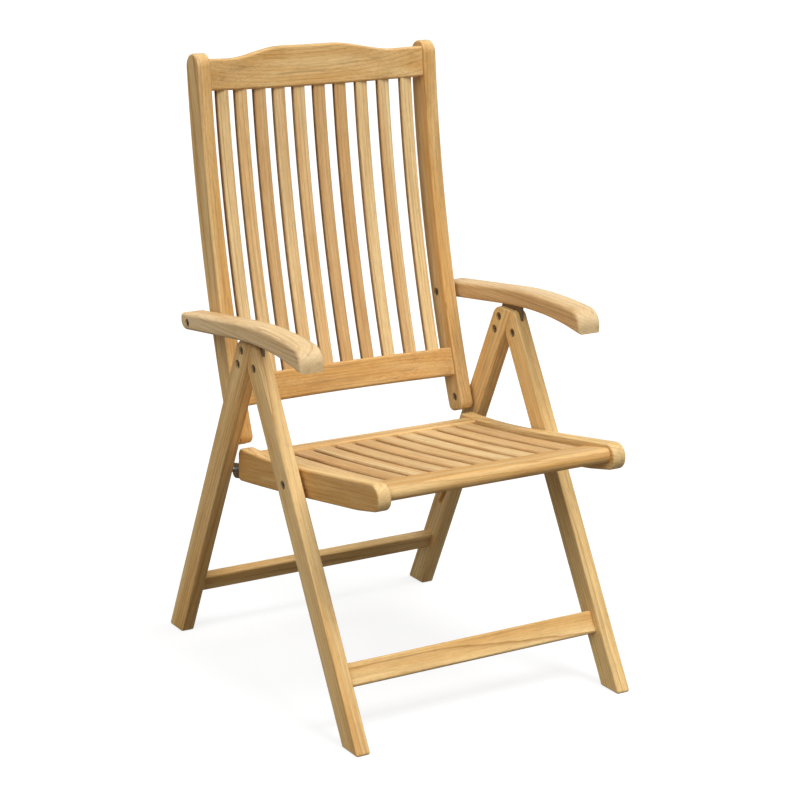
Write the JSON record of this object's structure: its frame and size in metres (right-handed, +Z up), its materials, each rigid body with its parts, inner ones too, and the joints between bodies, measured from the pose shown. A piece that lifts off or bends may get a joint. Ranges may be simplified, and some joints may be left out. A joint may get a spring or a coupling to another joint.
{
  "type": "folding armchair",
  "caption": "Folding teak armchair with a high slatted reclining back, slatted seat, curved arms and crossed legs that close flat.",
  "frame": {"origin": "on the floor, under the middle of the chair's bounding box", "axes": "+X across the chair to the viewer's right when seen from the front, -Y to the front, +Z up"},
  "size_m": [0.6, 0.7051, 1.0785],
  "materials": {
    "teak_frame": "sanded, unoiled",
    "teak_slats": "sanded, unoiled",
    "teak_arms": "sanded, unoiled, a little greyed",
    "dark_steel": "dull, darkened",
    "stainless_steel": "satin"
  },
  "bodies": {
    "rear_legs": {"rear_leg_left": "teak_frame", "rear_leg_right": "teak_frame", "rear_stretcher": "teak_frame", "apex_plate_left": "dark_steel", "apex_plate_right": "dark_steel", "upper_plate_bolt_left": "dark_steel", "upper_plate_bolt_right": "dark_steel", "lower_plate_bolt_left": "dark_steel", "lower_plate_bolt_right": "dark_steel"},
    "front_legs": {"front_leg_left": "teak_frame", "front_leg_right": "teak_frame", "front_stretcher": "teak_frame", "apex_pivot_bolt_left": "dark_steel", "apex_pivot_bolt_right": "dark_steel"},
    "seat": {"seat_rail_left": "teak_frame", "seat_rail_right": "teak_frame", "seat_front_rail": "teak_frame", "seat_rear_rail": "teak_frame", "seat_slat_1": "teak_slats", "seat_slat_2": "teak_slats", "seat_slat_3": "teak_slats", "seat_slat_4": "teak_slats", "seat_slat_5": "teak_slats", "seat_slat_6": "teak_slats", "seat_slat_7": "teak_slats", "seat_slat_8": "teak_slats", "seat_slat_9": "teak_slats", "seat_slat_10": "teak_slats", "seat_pivot_bolt_left": "dark_steel", "seat_pivot_bolt_right": "dark_steel", "seat_spacer_left": "dark_steel", "seat_spacer_right": "dark_steel", "seat_bracket_left": "dark_steel", "seat_bracket_right": "dark_steel"},
    "back_pivots": {"back_pivot_bolt_left": "dark_steel", "back_pivot_bolt_right": "dark_steel"},
    "back": {"back_stile_left": "teak_frame", "back_stile_right": "teak_frame", "back_lower_rail": "teak_frame", "back_top_rail": "teak_frame", "back_slat_1": "teak_slats", "back_slat_2": "teak_slats", "back_slat_3": "teak_slats", "back_slat_4": "teak_slats", "back_slat_5": "teak_slats", "back_slat_6": "teak_slats", "back_slat_7": "teak_slats", "back_slat_8": "teak_slats", "back_slat_9": "teak_slats", "back_slat_10": "teak_slats"},
    "arm_pivot_left": {"arm_bolt_left": "dark_steel"},
    "arm_washer_left": {"arm_spacer_left": "dark_steel"},
    "arm_left": {"arm_left": "teak_arms", "arm_rack_left": "dark_steel"},
    "arm_pivot_right": {"arm_bolt_right": "dark_steel"},
    "arm_washer_right": {"arm_spacer_right": "dark_steel"},
    "arm_right": {"arm_right": "teak_arms", "arm_rack_right": "dark_steel"}
  },
  "joints": [
    {"name": "fold", "type": "hinge", "parent": "rear_legs", "child": "front_legs", "pos_m": [0, 0.00942, 0.577], "axis": [1, 0, 0], "range_deg": [0, 54]},
    {"name": "seat_fold", "type": "hinge", "parent": "front_legs", "child": "seat", "pos_m": [0, -0.09328, 0.3984], "axis": [1, 0, 0], "range_deg": [-97.52, 0]},
    {"name": "back_fold", "type": "hinge", "parent": "rear_legs", "child": "back_pivots", "pos_m": [0, 0.14705, 0.4275], "axis": [1, 0, 0], "range_deg": [0, 35.65]},
    {"name": "back_recline", "type": "hinge", "parent": "back_pivots", "child": "back", "pos_m": [0, 0.14705, 0.4275], "axis": [-1, 0, 0], "range_deg": [0, 38]},
    {"name": "arm_recline_left", "type": "hinge", "parent": "back", "child": "arm_pivot_left", "pos_m": [-0.265, 0.21722, 0.61521], "axis": [1, 0, 0], "range_deg": [0, 22.81]},
    {"name": "arm_fold_left", "type": "hinge", "parent": "arm_pivot_left", "child": "arm_washer_left", "pos_m": [-0.265, 0.21722, 0.61521], "axis": [-1, 0, 0], "range_deg": [0, 99.93]},
    {"name": "arm_lift_left", "type": "hinge", "parent": "arm_washer_left", "child": "arm_left", "pos_m": [-0.265, 0.21722, 0.61521], "axis": [-1, 0, 0], "range_deg": [0, 70]},
    {"name": "arm_recline_right", "type": "hinge", "parent": "back", "child": "arm_pivot_right", "pos_m": [0.265, 0.21722, 0.61521], "axis": [1, 0, 0], "range_deg": [0, 22.81]},
    {"name": "arm_fold_right", "type": "hinge", "parent": "arm_pivot_right", "child": "arm_washer_right", "pos_m": [0.265, 0.21722, 0.61521], "axis": [-1, 0, 0], "range_deg": [0, 99.93]},
    {"name": "arm_lift_right", "type": "hinge", "parent": "arm_washer_right", "child": "arm_right", "pos_m": [0.265, 0.21722, 0.61521], "axis": [-1, 0, 0], "range_deg": [0, 70]}
  ],
  "couplings": [
    {"joint": "seat_fold", "follows": "fold", "ratio": -1.8057},
    {"joint": "arm_recline_left", "follows": "back_recline", "ratio": 0.6},
    {"joint": "arm_fold_left", "follows": "back_fold", "ratio": 2.803},
    {"joint": "arm_recline_right", "follows": "back_recline", "ratio": 0.6},
    {"joint": "arm_fold_right", "follows": "back_fold", "ratio": 2.803}
  ]
}
